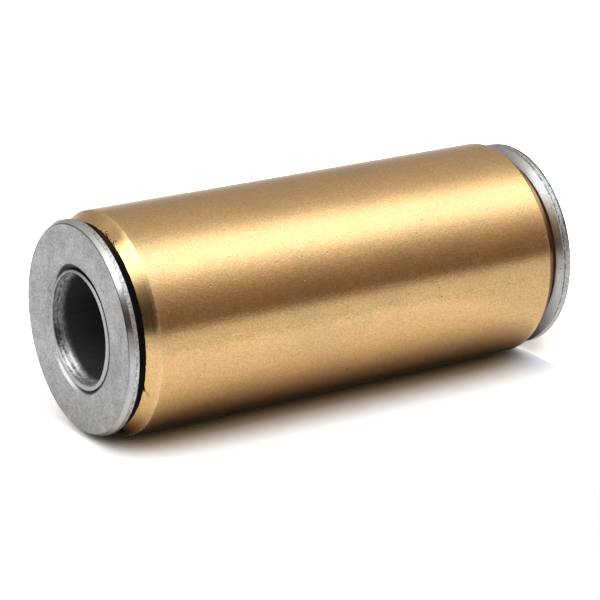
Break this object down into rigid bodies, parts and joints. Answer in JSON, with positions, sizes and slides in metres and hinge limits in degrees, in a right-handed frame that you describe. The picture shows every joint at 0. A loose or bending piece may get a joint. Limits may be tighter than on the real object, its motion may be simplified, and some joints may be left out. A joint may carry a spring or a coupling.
{
  "type": "leaf spring bushing",
  "caption": "Bonded rubber-and-metal bush for a leaf spring eye: turned outer sleeve, rubber core, thick inner tube, and an end washer staked on at each end.",
  "frame": {"origin": "centre of the bottom washer's outer face, on the bore's axis", "axes": "+Z along the bore's axis, which way is free, because both ends are alike; X and Y are free, because the part is round"},
  "size_m": [0.051, 0.051, 0.1186],
  "materials": {
    "turned_brass": "fine circumferential turning marks, satin, light handling marks",
    "rubber": "matt, with crumbs of torn moulding flash",
    "tube_steel": "satin, tool marks inside the spread mouths",
    "washer_steel": "matt blanked steel, burnished and torn bands round the edge"
  },
  "bodies": {
    "root": {"outer_sleeve": "turned_brass", "rubber_core": "rubber", "inner_tube": "tube_steel", "bottom_washer": "washer_steel", "top_washer": "washer_steel"}
  },
  "joints": []
}
